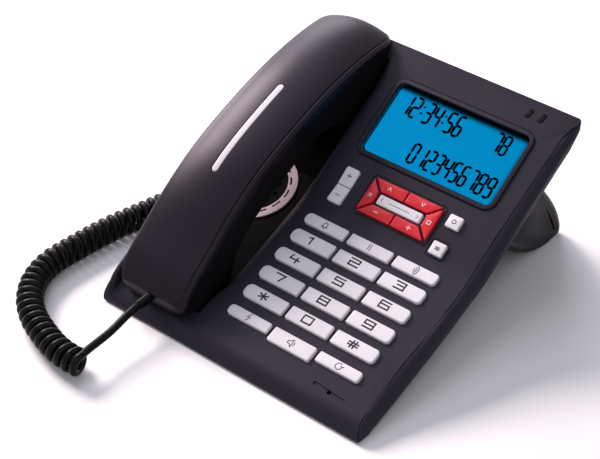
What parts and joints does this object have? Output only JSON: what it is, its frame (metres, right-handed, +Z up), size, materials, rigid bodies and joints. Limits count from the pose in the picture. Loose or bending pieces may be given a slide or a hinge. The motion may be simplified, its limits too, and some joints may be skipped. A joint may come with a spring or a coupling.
{
  "type": "caller id telephone",
  "caption": "Corded desk telephone with a tilted blue display, a keypad in a wedge body, an arched handset in a cradle and a curly cord.",
  "frame": {"origin": "on the table, under the centre of the telephone without its cord", "axes": "+Z up, +Y from the keypad's front edge to the display's rear edge, +X to the right of someone who dials"},
  "size_m": [0.2226, 0.2628, 0.1006],
  "materials": {
    "casing": "satin aubergine black, fine spark texture",
    "dark": "semi-matte black",
    "silver": "silver paint under a clear satin coat",
    "red": "satin red",
    "window": "clear polished acrylic",
    "screen": "blue backlit liquid crystal",
    "lamp": "smoked clear",
    "board": "green solder mask",
    "rubber": "matt",
    "capsule": "matt",
    "steel": "zinc plated",
    "cord": "semi-gloss black cord jacket"
  },
  "bodies": {
    "base": {"top_casing": "casing", "bottom_casing": "dark", "display_window": "window", "display_panel": "screen", "display_board": "board", "keypad_board": "board", "keypad_mat": "rubber", "cluster_mat": "rubber", "indicator_left": "lamp", "indicator_right": "lamp", "speaker_ring": "silver", "loudspeaker": "capsule", "base_microphone": "steel", "stand": "dark", "foot_left": "rubber", "foot_right": "rubber", "handset_jack": "dark", "line_jack": "dark", "screw_front_left": "steel", "screw_front_right": "steel", "screw_rear": "steel", "base_plug": "cord", "base_lead": "cord", "handset_lead": "cord", "curly_cord": "cord"},
    "handset": {"handset_back": "casing", "handset_face": "dark", "handset_strip": "silver", "receiver": "capsule", "handset_microphone": "steel", "handset_plug": "cord"},
    "hook": {"hook_plunger": "dark"},
    "bar": {"bar_rocker": "silver"},
    "side_bar": {"side_rocker": "silver"},
    "key_1_body": {"key_1": "silver"},
    "key_2_body": {"key_2": "silver"},
    "key_3_body": {"key_3": "silver"},
    "key_4_body": {"key_4": "silver"},
    "key_5_body": {"key_5": "silver"},
    "key_6_body": {"key_6": "silver"},
    "key_7_body": {"key_7": "silver"},
    "key_8_body": {"key_8": "silver"},
    "key_9_body": {"key_9": "silver"},
    "key_star_body": {"key_star": "silver"},
    "key_0_body": {"key_0": "silver"},
    "key_hash_body": {"key_hash": "silver"},
    "key_upper_left_body": {"key_upper_left": "silver"},
    "key_upper_middle_body": {"key_upper_middle": "silver"},
    "key_upper_right_body": {"key_upper_right": "silver"},
    "key_lower_left_body": {"key_lower_left": "silver"},
    "key_lower_middle_body": {"key_lower_middle": "silver"},
    "key_lower_right_body": {"key_lower_right": "silver"},
    "key_small_upper_body": {"key_small_upper": "silver"},
    "key_small_lower_body": {"key_small_lower": "silver"},
    "key_ring_right_body": {"key_ring_right": "red"},
    "key_ring_left_body": {"key_ring_left": "red"},
    "key_ring_top_right_body": {"key_ring_top_right": "red"},
    "key_ring_top_left_body": {"key_ring_top_left": "red"},
    "key_ring_bottom_right_body": {"key_ring_bottom_right": "red"},
    "key_ring_bottom_left_body": {"key_ring_bottom_left": "red"}
  },
  "joints": [
    {"name": "handset_lift", "type": "slide", "parent": "base", "child": "handset", "axis": [0, 0, 1], "range_m": [0, 0.06]},
    {"name": "hook_travel", "type": "slide", "parent": "base", "child": "hook", "axis": [0, -0.5075, 0.8616], "range_m": [0, 0.004]},
    {"name": "bar_rock", "type": "hinge", "parent": "base", "child": "bar", "pos_m": [0.0274, 0.01434, 0.04479], "axis": [0, 0.8616, 0.5075], "range_deg": [-3, 3], "stiffness_Nm_per_rad": 0.2},
    {"name": "side_rock", "type": "hinge", "parent": "base", "child": "side_bar", "pos_m": [-0.0094, 0.01296, 0.04398], "axis": [1, 0, 0], "range_deg": [-3.5, 3.5], "stiffness_Nm_per_rad": 0.2},
    {"name": "key_1_press", "type": "slide", "parent": "base", "child": "key_1_body", "axis": [0, 0.3007, -0.9537], "range_m": [0, 0.0012], "stiffness_N_per_m": 400, "springref_m": -0.0005},
    {"name": "key_2_press", "type": "slide", "parent": "base", "child": "key_2_body", "axis": [0, 0.3007, -0.9537], "range_m": [0, 0.0012], "stiffness_N_per_m": 400, "springref_m": -0.0005},
    {"name": "key_3_press", "type": "slide", "parent": "base", "child": "key_3_body", "axis": [0, 0.3007, -0.9537], "range_m": [0, 0.0012], "stiffness_N_per_m": 400, "springref_m": -0.0005},
    {"name": "key_4_press", "type": "slide", "parent": "base", "child": "key_4_body", "axis": [0, 0.3007, -0.9537], "range_m": [0, 0.0012], "stiffness_N_per_m": 400, "springref_m": -0.0005},
    {"name": "key_5_press", "type": "slide", "parent": "base", "child": "key_5_body", "axis": [0, 0.3007, -0.9537], "range_m": [0, 0.0012], "stiffness_N_per_m": 400, "springref_m": -0.0005},
    {"name": "key_6_press", "type": "slide", "parent": "base", "child": "key_6_body", "axis": [0, 0.3007, -0.9537], "range_m": [0, 0.0012], "stiffness_N_per_m": 400, "springref_m": -0.0005},
    {"name": "key_7_press", "type": "slide", "parent": "base", "child": "key_7_body", "axis": [0, 0.3007, -0.9537], "range_m": [0, 0.0012], "stiffness_N_per_m": 400, "springref_m": -0.0005},
    {"name": "key_8_press", "type": "slide", "parent": "base", "child": "key_8_body", "axis": [0, 0.3007, -0.9537], "range_m": [0, 0.0012], "stiffness_N_per_m": 400, "springref_m": -0.0005},
    {"name": "key_9_press", "type": "slide", "parent": "base", "child": "key_9_body", "axis": [0, 0.3007, -0.9537], "range_m": [0, 0.0012], "stiffness_N_per_m": 400, "springref_m": -0.0005},
    {"name": "key_star_press", "type": "slide", "parent": "base", "child": "key_star_body", "axis": [0, 0.3007, -0.9537], "range_m": [0, 0.0012], "stiffness_N_per_m": 400, "springref_m": -0.0005},
    {"name": "key_0_press", "type": "slide", "parent": "base", "child": "key_0_body", "axis": [0, 0.3007, -0.9537], "range_m": [0, 0.0012], "stiffness_N_per_m": 400, "springref_m": -0.0005},
    {"name": "key_hash_press", "type": "slide", "parent": "base", "child": "key_hash_body", "axis": [0, 0.3007, -0.9537], "range_m": [0, 0.0012], "stiffness_N_per_m": 400, "springref_m": -0.0005},
    {"name": "key_upper_left_press", "type": "slide", "parent": "base", "child": "key_upper_left_body", "axis": [0, 0.3007, -0.9537], "range_m": [0, 0.0012], "stiffness_N_per_m": 400, "springref_m": -0.0005},
    {"name": "key_upper_middle_press", "type": "slide", "parent": "base", "child": "key_upper_middle_body", "axis": [0, 0.3007, -0.9537], "range_m": [0, 0.0012], "stiffness_N_per_m": 400, "springref_m": -0.0005},
    {"name": "key_upper_right_press", "type": "slide", "parent": "base", "child": "key_upper_right_body", "axis": [0, 0.3007, -0.9537], "range_m": [0, 0.0012], "stiffness_N_per_m": 400, "springref_m": -0.0005},
    {"name": "key_lower_left_press", "type": "slide", "parent": "base", "child": "key_lower_left_body", "axis": [0, 0.3007, -0.9537], "range_m": [0, 0.0012], "stiffness_N_per_m": 400, "springref_m": -0.0005},
    {"name": "key_lower_middle_press", "type": "slide", "parent": "base", "child": "key_lower_middle_body", "axis": [0, 0.3007, -0.9537], "range_m": [0, 0.0012], "stiffness_N_per_m": 400, "springref_m": -0.0005},
    {"name": "key_lower_right_press", "type": "slide", "parent": "base", "child": "key_lower_right_body", "axis": [0, 0.3007, -0.9537], "range_m": [0, 0.0012], "stiffness_N_per_m": 400, "springref_m": -0.0005},
    {"name": "key_small_upper_press", "type": "slide", "parent": "base", "child": "key_small_upper_body", "axis": [0, 0.5075, -0.8616], "range_m": [0, 0.0012], "stiffness_N_per_m": 400, "springref_m": -0.0005},
    {"name": "key_small_lower_press", "type": "slide", "parent": "base", "child": "key_small_lower_body", "axis": [0, 0.5075, -0.8616], "range_m": [0, 0.0012], "stiffness_N_per_m": 400, "springref_m": -0.0005},
    {"name": "key_ring_right_press", "type": "slide", "parent": "base", "child": "key_ring_right_body", "axis": [0, 0.5075, -0.8616], "range_m": [0, 0.0012], "stiffness_N_per_m": 400, "springref_m": -0.0005},
    {"name": "key_ring_left_press", "type": "slide", "parent": "base", "child": "key_ring_left_body", "axis": [0, 0.5075, -0.8616], "range_m": [0, 0.0012], "stiffness_N_per_m": 400, "springref_m": -0.0005},
    {"name": "key_ring_top_right_press", "type": "slide", "parent": "base", "child": "key_ring_top_right_body", "axis": [0, 0.5075, -0.8616], "range_m": [0, 0.0012], "stiffness_N_per_m": 400, "springref_m": -0.0005},
    {"name": "key_ring_top_left_press", "type": "slide", "parent": "base", "child": "key_ring_top_left_body", "axis": [0, 0.5075, -0.8616], "range_m": [0, 0.0012], "stiffness_N_per_m": 400, "springref_m": -0.0005},
    {"name": "key_ring_bottom_right_press", "type": "slide", "parent": "base", "child": "key_ring_bottom_right_body", "axis": [0, 0.5075, -0.8616], "range_m": [0, 0.0012], "stiffness_N_per_m": 400, "springref_m": -0.0005},
    {"name": "key_ring_bottom_left_press", "type": "slide", "parent": "base", "child": "key_ring_bottom_left_body", "axis": [0, 0.5075, -0.8616], "range_m": [0, 0.0012], "stiffness_N_per_m": 400, "springref_m": -0.0005}
  ],
  "couplings": [
    {"joint": "hook_travel", "follows": "handset_lift", "ratio": 0.0666}
  ]
}
